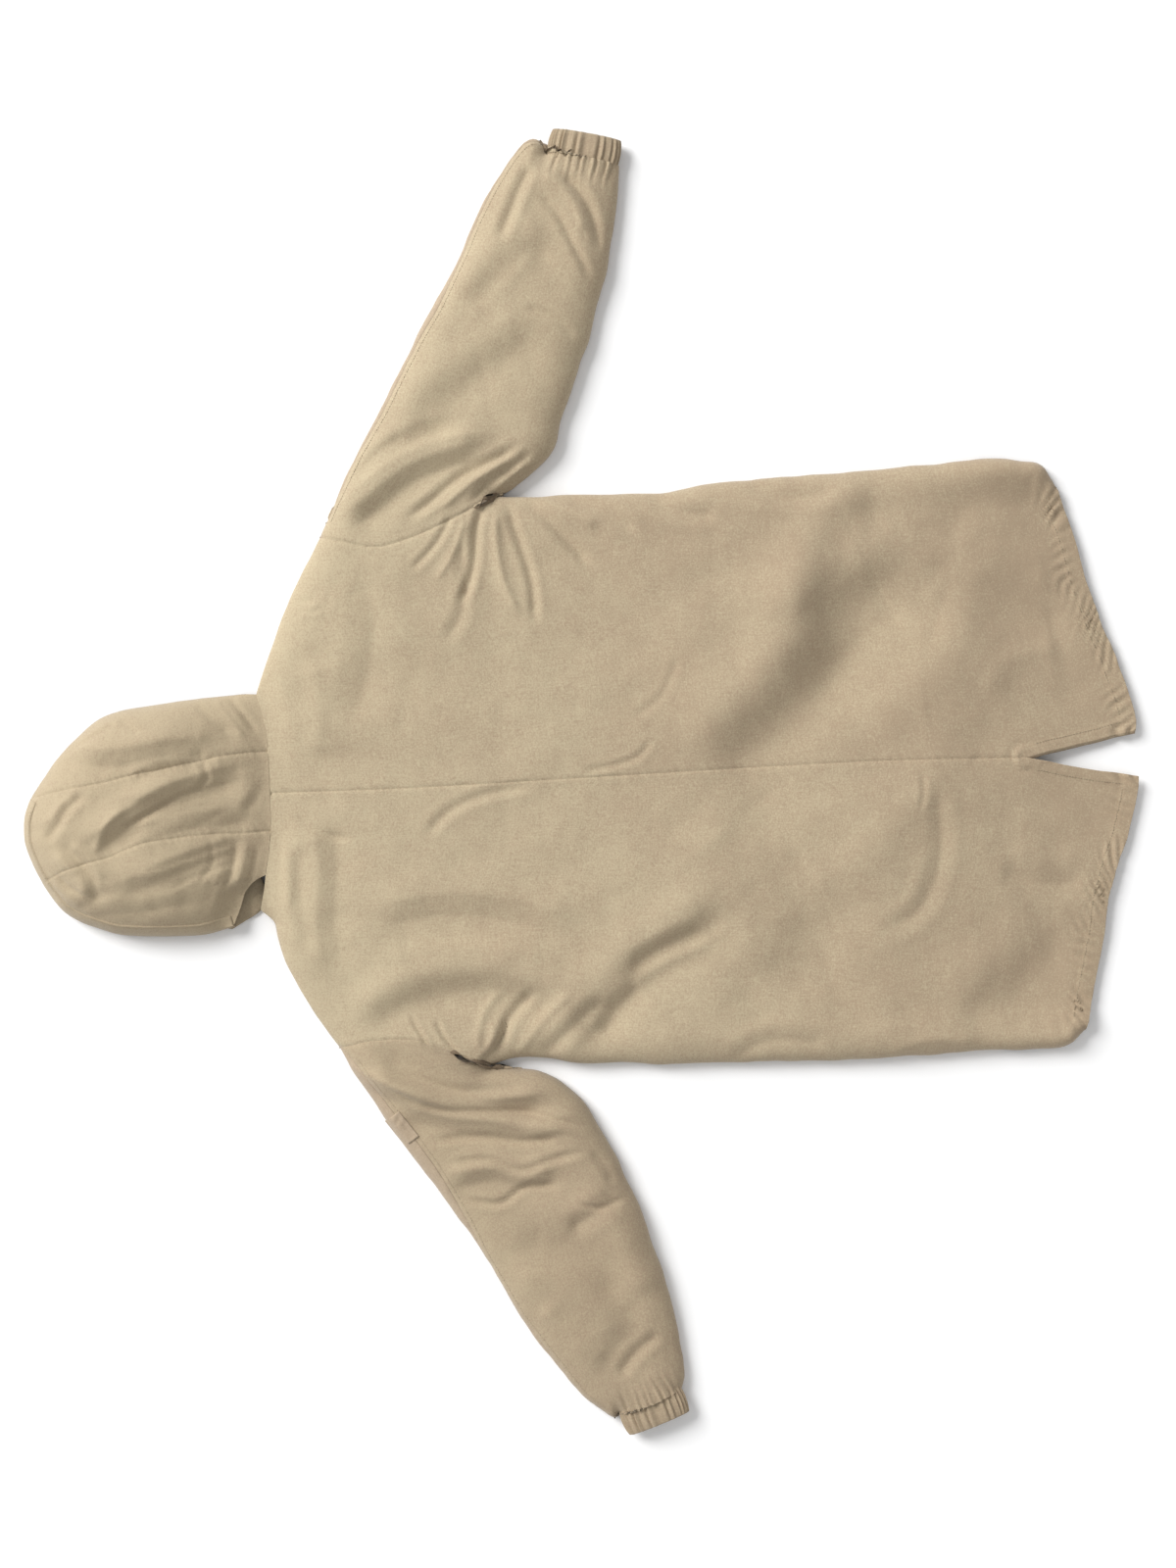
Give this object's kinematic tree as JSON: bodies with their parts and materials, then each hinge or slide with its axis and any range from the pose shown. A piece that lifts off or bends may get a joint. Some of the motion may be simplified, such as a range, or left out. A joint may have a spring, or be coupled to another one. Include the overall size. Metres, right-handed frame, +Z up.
{
  "type": "hooded coat",
  "caption": "Hooded, lightly padded coat lying on its front, with a vented tail, elastic cuffs, a folding hood and a front zip.",
  "frame": {"origin": "on the floor under the middle of the coat's overall length, at the centre back seam", "axes": "+Y runs up the centre back seam towards the hood, +X is the wearer's right and runs along the spread sleeves, +Z is up from the floor through the coat's thickness"},
  "size_m": [1.5033, 1.2791, 0.07],
  "materials": {
    "shell_cloth": "plain woven cotton-nylon, khaki beige",
    "lining": "smooth lining cloth",
    "tape": "woven tape",
    "elastic": "braided elastic",
    "zip_metal": "dull antique metal"
  },
  "bodies": {
    "coat": {"back_panel_right": "shell_cloth", "back_hem_facing_right": "shell_cloth", "vent_facing_right": "shell_cloth", "front_panel_right": "shell_cloth", "front_hem_facing_right": "shell_cloth", "front_lining_right": "lining", "pocket_welt_right": "shell_cloth", "pocket_bag_right": "lining", "zip_tape_right": "tape", "zip_teeth_right": "zip_metal", "back_panel_left": "shell_cloth", "back_hem_facing_left": "shell_cloth", "vent_facing_left": "shell_cloth", "front_panel_left": "shell_cloth", "front_hem_facing_left": "shell_cloth", "front_lining_left": "lining", "pocket_welt_left": "shell_cloth", "pocket_bag_left": "lining", "zip_tape_left": "tape", "zip_teeth_left": "zip_metal", "back_lining": "lining", "neck_binding": "tape", "hanger_loop": "tape", "zip_top_stops": "zip_metal", "zip_box": "zip_metal", "zip_pin": "zip_metal"},
    "sleeve_right": {"sleeve_back_right": "shell_cloth", "sleeve_front_right": "shell_cloth", "sleeve_lining_right": "lining", "cuff_casing_right": "shell_cloth", "cuff_elastic_right": "elastic"},
    "sleeve_left": {"sleeve_back_left": "shell_cloth", "sleeve_front_left": "shell_cloth", "sleeve_lining_left": "lining", "cuff_casing_left": "shell_cloth", "cuff_elastic_left": "elastic", "sleeve_tab_left": "shell_cloth"},
    "hood": {"hood_centre_panel": "shell_cloth", "hood_side_right": "shell_cloth", "hood_side_left": "shell_cloth", "hood_opening_hem": "shell_cloth", "hood_lining": "lining"},
    "slider": {"zip_slider": "zip_metal"},
    "pull": {"zip_pull": "zip_metal"}
  },
  "joints": [
    {"name": "sleeve_right_swing", "type": "hinge", "parent": "coat", "child": "sleeve_right", "pos_m": [0.305, 0.18475, 0], "axis": [0, 0, 1], "range_deg": [-5, 20]},
    {"name": "sleeve_left_swing", "type": "hinge", "parent": "coat", "child": "sleeve_left", "pos_m": [-0.312, 0.19889, 0], "axis": [0, 0, -1], "range_deg": [-2, 20]},
    {"name": "hood_fold", "type": "hinge", "parent": "coat", "child": "hood", "pos_m": [-0.0255, 0.359, 0.03], "axis": [1, 0, 0], "range_deg": [0, 140]},
    {"name": "zip_slide", "type": "slide", "parent": "coat", "child": "slider", "axis": [0, -1, 0], "range_m": [0, 0.7232]},
    {"name": "pull_swing", "type": "hinge", "parent": "slider", "child": "pull", "pos_m": [-0.004, 0.2686, 0.00095], "axis": [1, 0, 0], "range_deg": [0, 170]}
  ]
}
